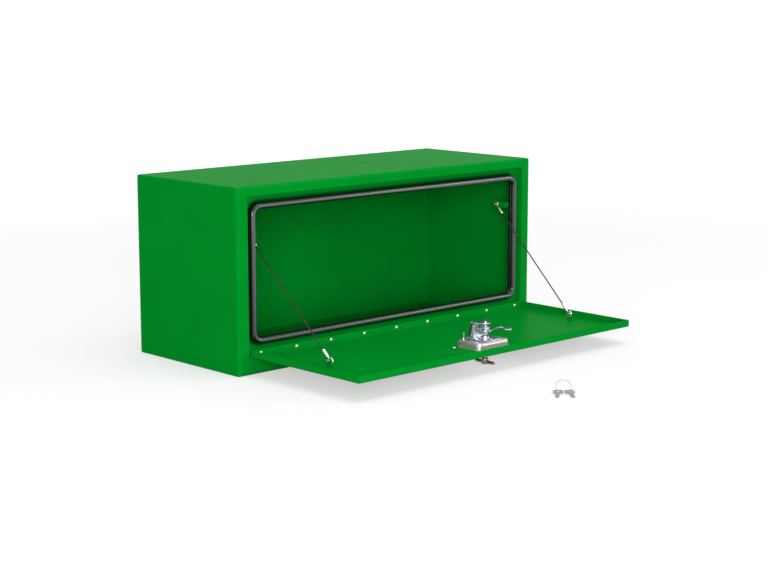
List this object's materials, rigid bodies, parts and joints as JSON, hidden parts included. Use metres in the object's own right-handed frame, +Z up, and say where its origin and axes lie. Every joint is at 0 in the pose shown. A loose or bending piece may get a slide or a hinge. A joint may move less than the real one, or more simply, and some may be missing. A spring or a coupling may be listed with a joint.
{
  "type": "truck bed tool box",
  "caption": "Green steel truck bed tool box with a drop-down door on lanyards, a folding tee latch handle, a rubber door seal and a ring of keys.",
  "frame": {"origin": "centre of the cabinet's bottom face", "axes": "+X along the width, to the right as seen from the front, +Y towards the back, +Z up"},
  "size_m": [0.9144, 0.9625, 0.4064],
  "materials": {
    "green_paint": "glossy green powder coat over sheet steel",
    "black_rubber": "matt black extruded rubber",
    "zinc_plate": "bright zinc plate",
    "stainless": "drawn stainless steel",
    "black_chrome": "dark chrome on die-cast zinc",
    "rivet_steel": "plain steel rivets",
    "cable_steel": "stranded steel wire rope, oiled",
    "nickel": "nickel plate"
  },
  "bodies": {
    "box": {"cabinet_wrapper": "green_paint", "back_panel": "green_paint", "door_frame": "green_paint", "latch_strike": "green_paint", "door_seal": "black_rubber", "hinge_leaf_cabinet": "green_paint", "hinge_pin": "nickel", "lanyard_tab_cabinet_left": "green_paint", "lanyard_end_cabinet_left": "nickel", "lanyard_screw_cabinet_left": "nickel", "lanyard_nut_cabinet_left": "zinc_plate", "lanyard_cable_left": "cable_steel", "lanyard_tab_cabinet_right": "green_paint", "lanyard_end_cabinet_right": "nickel", "lanyard_screw_cabinet_right": "nickel", "lanyard_nut_cabinet_right": "zinc_plate", "lanyard_cable_right": "cable_steel"},
    "door": {"door_pan": "green_paint", "hinge_leaf_door": "green_paint", "latch_dish": "stainless", "dish_rivet_left": "rivet_steel", "dish_rivet_right": "rivet_steel", "dish_stud": "zinc_plate", "latch_bracket": "zinc_plate", "spindle_bush": "zinc_plate", "hinge_rivet_1": "rivet_steel", "hinge_rivet_2": "rivet_steel", "hinge_rivet_3": "rivet_steel", "hinge_rivet_4": "rivet_steel", "hinge_rivet_5": "rivet_steel", "hinge_rivet_6": "rivet_steel", "hinge_rivet_7": "rivet_steel", "hinge_rivet_8": "rivet_steel", "hinge_rivet_9": "rivet_steel", "lanyard_tab_door_left": "green_paint", "lanyard_end_door_left": "nickel", "lanyard_screw_door_left": "nickel", "lanyard_nut_door_left": "zinc_plate", "lanyard_tab_door_right": "green_paint", "lanyard_end_door_right": "nickel", "lanyard_screw_door_right": "nickel", "lanyard_nut_door_right": "zinc_plate"},
    "spindle": {"tee_spindle": "zinc_plate", "latch_cam": "zinc_plate", "cam_nut": "zinc_plate", "tee_pin": "nickel"},
    "tee": {"tee_handle": "black_chrome"},
    "lock": {"lock_plug": "nickel"},
    "keys": {"key_ring": "nickel", "key_left": "nickel", "key_right": "nickel"}
  },
  "joints": [
    {"name": "door_hinge", "type": "hinge", "parent": "box", "child": "door", "pos_m": [0, -0.1778, 0.0396], "axis": [1, 0, 0], "range_deg": [-90, 0], "deforming": ["lanyard_cable_left", "lanyard_cable_right"]},
    {"name": "tee_turn", "type": "hinge", "parent": "door", "child": "spindle", "pos_m": [0.017, -0.447, 0.057], "axis": [0, 0, 1], "range_deg": [-90, 0]},
    {"name": "tee_fold", "type": "hinge", "parent": "spindle", "child": "tee", "pos_m": [0.017, -0.447, 0.045], "axis": [0, 1, 0], "range_deg": [0, 90]},
    {"name": "lock_turn", "type": "hinge", "parent": "tee", "child": "lock", "pos_m": [0.017, -0.447, 0.007], "axis": [0, 0, 1], "range_deg": [0, 90]},
    {"name": "keys_lift", "type": "slide", "parent": "box", "child": "keys", "axis": [0, 0, 1], "range_m": [0, 0.3]}
  ]
}
